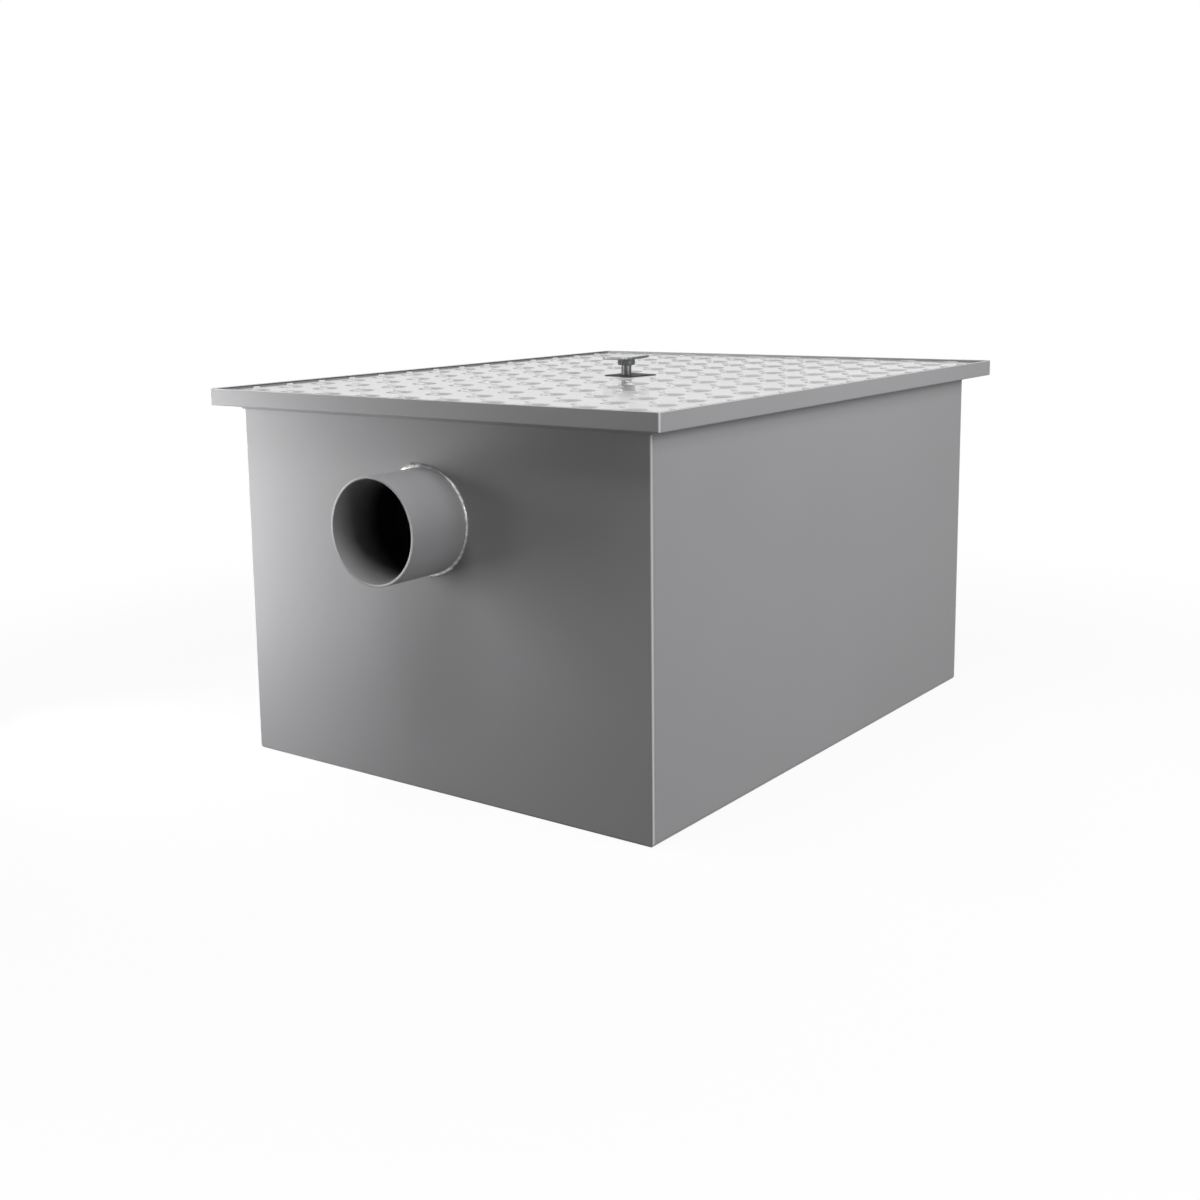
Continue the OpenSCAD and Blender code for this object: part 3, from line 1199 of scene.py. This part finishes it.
    def bead(self) -> None:
        """Make the weld run, which swells and thins round the pipe."""
        out = self.out_r
        bead = start(
            "torus",
            f"{self.end.label}_weld_run",
            major_segments=self.bead_segments,
            minor_segments=self.bead_sides,
            major_radius=out * MM,
            minor_radius=1.0 * MM,
        )
        ripples = round(math.tau * out / self.ripple_mm)
        # Painted highlight: bright where light caught the run, the paint's grey
        # elsewhere.
        lit = bead.data.attributes.new(PAINTED_HIGHLIGHT_AND_GREY, "FLOAT", "POINT").data
        for index, vert in enumerate(bead.data.vertices):
            angle = math.atan2(vert.co.y, vert.co.x)
            lit[index].value = self.highlight_share(angle)
            radial = math.hypot(vert.co.x, vert.co.y) - out * MM
            size = self.bead_size(angle, ripples)
            far = out * MM + max(radial * size, -self.bead_sink * MM)
            rise = max(vert.co.z * size, -self.bead_sink * MM)
            vert.co = Vector((math.cos(angle) * far, math.sin(angle) * far, rise))
        flip = Matrix.Rotation(math.radians(90 * (1 + self.end.value)), 4, "Z")
        bead.data.transform(self.place() @ flip)
        smooth(bead, self.bead_crease_deg)
        dress(bead, self.finishes.weld, Body.TANK)

    def build(self) -> None:
        """Make the stub and its weld run."""
        self.pipe()
        self.bead()


@dataclass
class TankShell(Assembly):
    """The folded tank with its rim: nodes that keep their shape, and eased copies."""

    plain: tuple[str, ...] = ("tank_trough", "rim_weld")
    sheets: tuple[CopyRow, ...] = (
        ("rim_frame", "rim_fold", 0.6),
        ("inlet_end_plate", "inlet_wall", 0.4),
        ("outlet_end_plate", "outlet_wall", 0.4),
    )

    def build(self) -> None:
        """Dress the tank's sheets."""
        for name in self.plain:
            coat(self.nodes[name], self.finishes.tank)
        for name, copy, width in self.sheets:
            piece = eased(self.nodes[name], copy, width)
            # Painted highlights along the rounded edges of the sheets.
            paint_edge_highlights(piece)
            dress(piece, self.finishes.tank, Body.TANK)


@dataclass
class Inside(Assembly):
    """What the tank holds: baffles in their guides, weir, bar, nut and rubber."""

    sheets: tuple[CopyRow, ...] = (
        ("inlet_baffle", "inlet_baffle_sheet", 0.4),
        ("outlet_baffle", "outlet_baffle_sheet", 0.4),
        ("inlet_baffle_guides", "inlet_guide_channels", 0.3),
        ("outlet_baffle_guides", "outlet_guide_channels", 0.3),
        ("center_weir", "weir_sheet", 0.4),
        ("cross_bar", "hold_down_bar", 0.6),
    )
    nut_edge: float = 0.5
    seal_edge: float = 0.1
    # Grey laid on the seal: its share at the far run's left and right ends, and how
    # fast it grows downwards on the left run.
    seal_grey: Pair = (1.0, 0.58)
    seal_grey_rise: float = 0.42

    def grey_seal(self, seal: Piece) -> None:
        """Mark grey on the seal: along the run at the outlet end, less from left to
        right, and on the run at the left side, more towards its foot.

        Args:
            seal: The seal.
        """
        low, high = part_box("edge_seal")
        first, last = self.seal_grey
        marks = seal.data.attributes.new(PAINTED_HIGHLIGHT_AND_GREY, "FLOAT", "CORNER").data
        for face in seal.data.polygons:
            far_run = face.center.y > 0 and face.normal.y < -FACING
            left_run = face.center.x < 0 and face.normal.x > FACING
            for corner in face.loop_indices:
                place = seal.data.vertices[seal.data.loops[corner].vertex_index].co
                if far_run:
                    share = (place.x - low.x) / (high.x - low.x)
                    marks[corner].value = first + (last - first) * share
                elif left_run:
                    marks[corner].value = self.seal_grey_rise * (high.z - place.z) / MM

    def build(self) -> None:
        """Dress the inside pieces."""
        nodes, finishes = self.nodes, self.finishes
        for name, copy, width in self.sheets:
            piece = eased(nodes[name], copy, width)
            dress(piece, finishes.tank, Body.TANK)
        nut = eased(nodes["cross_bar_nut"], "bar_nut", self.nut_edge)
        dress(nut, finishes.steel, Body.TANK)
        coat(nodes["cover_gasket"], finishes.rubber)
        seal = eased(nodes["edge_seal"], "seal_strip", self.seal_edge)
        self.grey_seal(seal)
        dress(seal, finishes.rubber, Body.TANK)
        coat(nodes["bolt_retainer"], finishes.steel)


@dataclass(frozen=True)
class Lamp:
    """A soft box: its place, what it points at, its size and its power."""

    name: str
    place: Triple
    aim: Triple
    size: Pair
    watts: float
    spread_deg: float = 180.0

    def build(self) -> None:
        """Hang the lamp."""
        light = bpy.data.lights.new(self.name, "AREA")
        light.shape = "RECTANGLE"
        light.size, light.size_y = self.size
        light.energy = self.watts
        light.spread = math.radians(self.spread_deg)
        lamp = bpy.data.objects.new(self.name, light)
        bpy.context.scene.collection.objects.link(lamp)
        lamp.location = self.place
        way = Vector(self.aim) - Vector(self.place)
        lamp.rotation_euler = way.to_track_quat("-Z", "Y").to_euler()
        lamp.visible_camera = False


@dataclass
class Studio:
    """The camera at the photograph's angle, the lamps, the surround and the floor."""

    camera_place: Triple = (0.8244, -1.2016, 0.4389)
    heading_deg: float = -37.43
    drop_deg: float = 9.15
    roll_deg: float = 0.97
    lens_mm: float = 45.46
    sensor_mm: float = 36.0
    shift: Pair = (0.0418, -0.0758)
    clip: Pair = (0.01, 100.0)
    ambient: float = 0.05
    floor_size: float = 40.0
    floor_colour: str = "#5a5a5a"
    floor_seen: str = "#f0f0f0"
    floor_glow: float = 0.92
    floor_near: float = 0.45
    floor_far: float = 1.1
    lamps: tuple[Lamp, ...] = (
        Lamp(
            "left_box",
            (-0.46, -0.45, 0.21),
            (-0.21, -0.29, 0.19),
            (0.24, 0.36),
            1.36,
            130.0,
        ),
        Lamp("front_left", (-1.0, -1.57, 0.3), (0.0, -0.29, 0.2), (0.5, 0.5), 1.7),
        Lamp("right_far", (2.4, -0.47, 0.9), (0.2, 0.0, 0.2), (1.2, 1.0), 27.5),
        Lamp("right_near", (1.0, 0.1, 0.75), (0.22, 0.05, 0.2), (0.5, 0.5), 3.6),
        Lamp("top_box", (0.1, -0.75, 1.9), (0.0, -0.1, 0.3), (0.9, 0.9), 17.0),
        Lamp("back_fill", (-0.9, 1.8, 0.22), (0.0, 0.29, 0.16), (0.8, 0.2), 18.0),
    )

    def camera(self) -> None:
        """Set up the camera."""
        data = bpy.data.cameras.new("photo_camera")
        data.lens, data.sensor_width = self.lens_mm, self.sensor_mm
        data.shift_x, data.shift_y = self.shift
        data.clip_start, data.clip_end = self.clip
        camera = bpy.data.objects.new("photo_camera", data)
        bpy.context.scene.collection.objects.link(camera)
        place = Matrix.Translation(self.camera_place)
        for turn_deg, axis in (
            (-self.heading_deg, "Z"),
            (90 - self.drop_deg, "X"),
            (-self.roll_deg, "Z"),
        ):
            place = place @ Matrix.Rotation(math.radians(turn_deg), 4, axis)
        camera.matrix_world = place
        bpy.context.scene.camera = camera

    def seen(self, tree: Tree) -> Socket:
        """Tell the rays that see the surround itself from those that it lights with.

        Args:
            tree: The node tree to add to.

        Returns:
            A factor that is 1 for the rays that see it.
        """
        path = add_node(tree, "LightPath").outputs
        seen = path["Is Camera Ray"]
        for ray in ("Is Glossy Ray", "Is Transmission Ray"):
            both = {0: seen, 1: path[ray]}
            either = add_node(tree, "Math", both, operation="ADD", use_clamp=True)
            seen = either.outputs[0]
        return seen

    def surround(self) -> None:
        """Make the world white to the eye and dim as a light."""
        world = bpy.data.worlds.new("white_surround")
        world.use_nodes = True
        tree = world.node_tree
        tree.nodes.clear()
        light = {"Value": self.seen(tree), "To Min": self.ambient, "To Max": 1.0}
        strength = add_node(tree, "MapRange", light).outputs[0]
        white = {"Color": (1, 1, 1, 1), "Strength": strength}
        background = add_node(tree, "Background", white)
        add_node(tree, "OutputWorld", {"Surface": background.outputs[0]})
        bpy.context.scene.world = world

    def floor(self) -> None:
        """Lay the pale floor, which keeps the soft shadow near the tank."""
        floor = start("plane", "pale_floor", size=self.floor_size)
        material, tree, place = new_material("pale_floor_paper")
        far = add_node(tree, "VectorMath", {0: place}, operation="LENGTH")
        fade = {
            "Value": far.outputs["Value"],
            "From Min": self.floor_near,
            "From Max": self.floor_far,
            "To Min": self.floor_glow,
            "To Max": 1.0,
        }
        glow = add_node(tree, "MapRange", fade, interpolation_type="SMOOTHSTEP")
        seen = self.seen(tree)
        both = {0: glow.outputs[0], 1: seen}
        share = add_node(tree, "Math", both, operation="MULTIPLY")
        dark, pale = linear(self.floor_colour), linear(self.floor_seen)
        mix = {"Factor": seen, MIX_FIRST: dark, MIX_SECOND: pale}
        tone = add_node(tree, "Mix", mix, data_type="RGBA")
        paper = add_node(tree, "BsdfDiffuse", {"Color": tone.outputs[MIX_RESULT]})
        white = add_node(tree, "Emission", {"Color": (1, 1, 1, 1)})
        sides = {0: share.outputs[0], 1: paper.outputs[0], 2: white.outputs[0]}
        shader = add_node(tree, "MixShader", sides)
        add_node(tree, "OutputMaterial", {"Surface": shader.outputs[0]})
        floor.data.materials.append(material)

    def build(self) -> None:
        """Set up the whole studio."""
        bpy.context.scene.view_settings.view_transform = "Standard"
        self.camera()
        self.surround()
        self.floor()
        for lamp in self.lamps:
            lamp.build()


def main() -> None:
    """Build the trap round its frame."""
    logging.basicConfig(level=logging.INFO, format="%(name)s: %(message)s")
    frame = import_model()
    nodes = frame["nodes"]
    finishes = Finishes()
    Studio().build()
    TankShell(nodes, finishes).build()
    Inside(nodes, finishes).build()
    for end in End:
        PipeStub(nodes, finishes, end).build()
    TreadCover(nodes, finishes).build()
    HoldDown(nodes, finishes).build()
    deselect()


if __name__ == "__main__":
    main()
